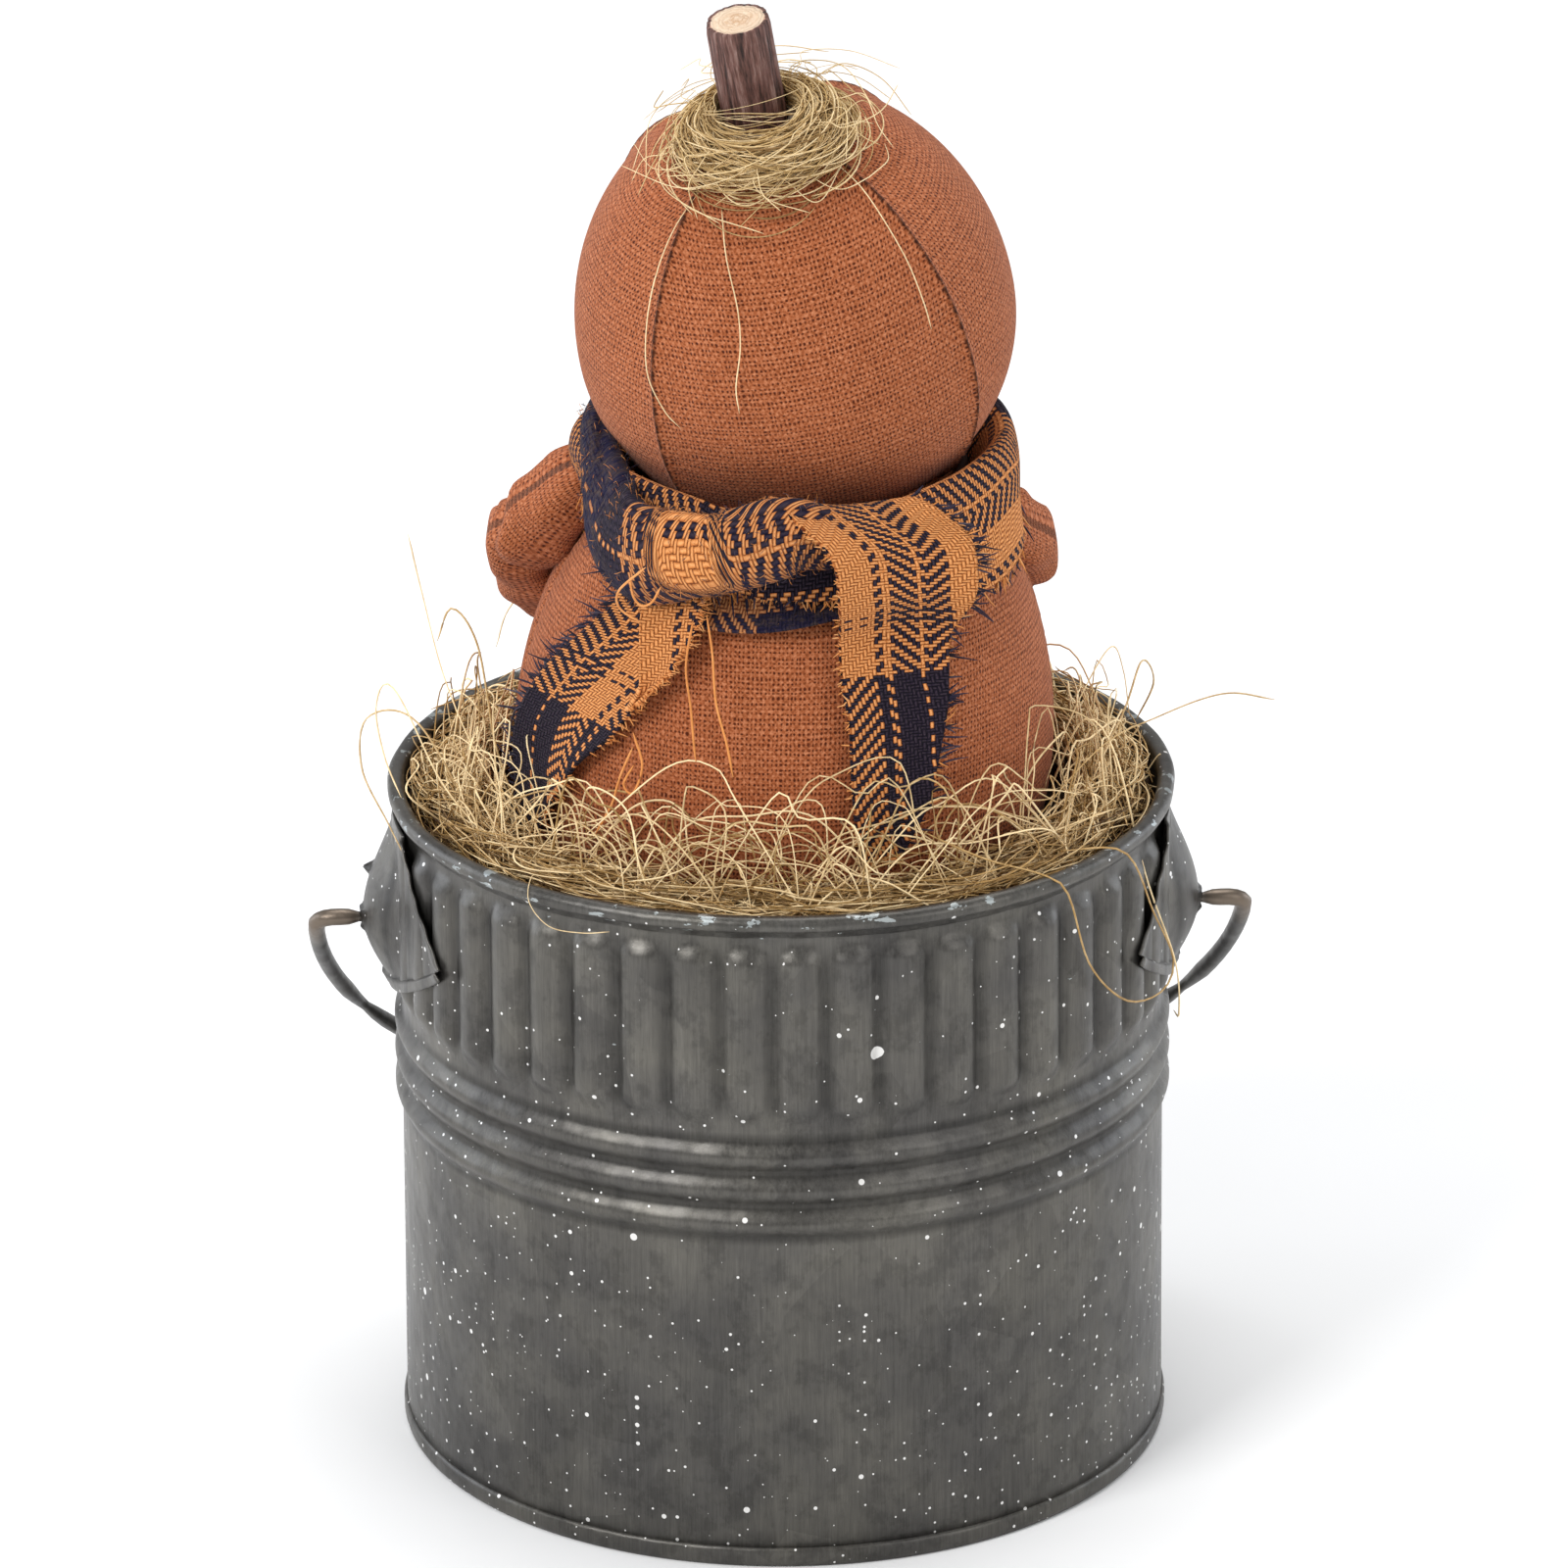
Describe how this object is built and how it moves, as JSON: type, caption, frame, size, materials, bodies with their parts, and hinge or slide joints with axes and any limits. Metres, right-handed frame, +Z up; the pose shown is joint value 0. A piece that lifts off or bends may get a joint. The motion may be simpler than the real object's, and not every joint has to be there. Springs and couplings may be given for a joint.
{
  "type": "stuffed scarecrow figure in a pail",
  "caption": "Stuffed rust-cloth harvest figure with a twig stem and plaid scarf, set in straw in a fluted galvanised pail with a swinging wire bail.",
  "frame": {"origin": "middle of the pail's foot, on the surface it stands on", "axes": "+Z up, -Y towards the figure's front, where the scarf is tied, +X towards its left hand; the bail turns about X"},
  "size_m": [0.1232, 0.1033, 0.1952],
  "materials": {
    "pail_metal": "dark antiqued zinc with white paint spatter, satin",
    "bail_metal": "dark steel wire, satin, brown where handled",
    "foam": "matt expanded foam",
    "hot_glue": "cloudy, glossy",
    "sisal": "loose dry fibre",
    "stuffing": "polyester fibre fill",
    "rust_cloth": "plain-weave osnaburg, matt",
    "thread": "dark cotton thread",
    "plaid_flannel": "orange and navy homespun plaid, torn and frayed edges",
    "cut_wood": "fresh cut end grain",
    "bark": "dry ridged bark"
  },
  "bodies": {
    "root": {"bucket_wall": "pail_metal", "bucket_bottom": "pail_metal", "ear_left": "pail_metal", "ear_right": "pail_metal", "foam_block": "foam", "base_glue_dabs": "hot_glue", "straw_bed": "sisal", "body_stuffing": "stuffing", "body_front_panel": "rust_cloth", "body_back_panel": "rust_cloth", "body_base_disc": "rust_cloth", "neck_thread": "thread", "head_stuffing": "stuffing", "head_gore_left": "rust_cloth", "head_gore_back": "rust_cloth", "head_gore_right": "rust_cloth", "head_gore_front": "rust_cloth", "stem_wood": "cut_wood", "stem_bark": "bark", "stem_glue": "hot_glue", "stem_nest": "sisal", "arm_left": "rust_cloth", "arm_right": "rust_cloth", "scarf_neck_wrap": "plaid_flannel", "scarf_knot": "plaid_flannel", "scarf_tail_left": "plaid_flannel", "scarf_tail_right": "plaid_flannel"},
    "bail": {"bail_wire": "bail_metal"}
  },
  "joints": [
    {"name": "bail_swing", "type": "hinge", "parent": "root", "child": "bail", "pos_m": [0, 0, 0.0706], "axis": [1, 0, 0], "range_deg": [0, 95]}
  ]
}
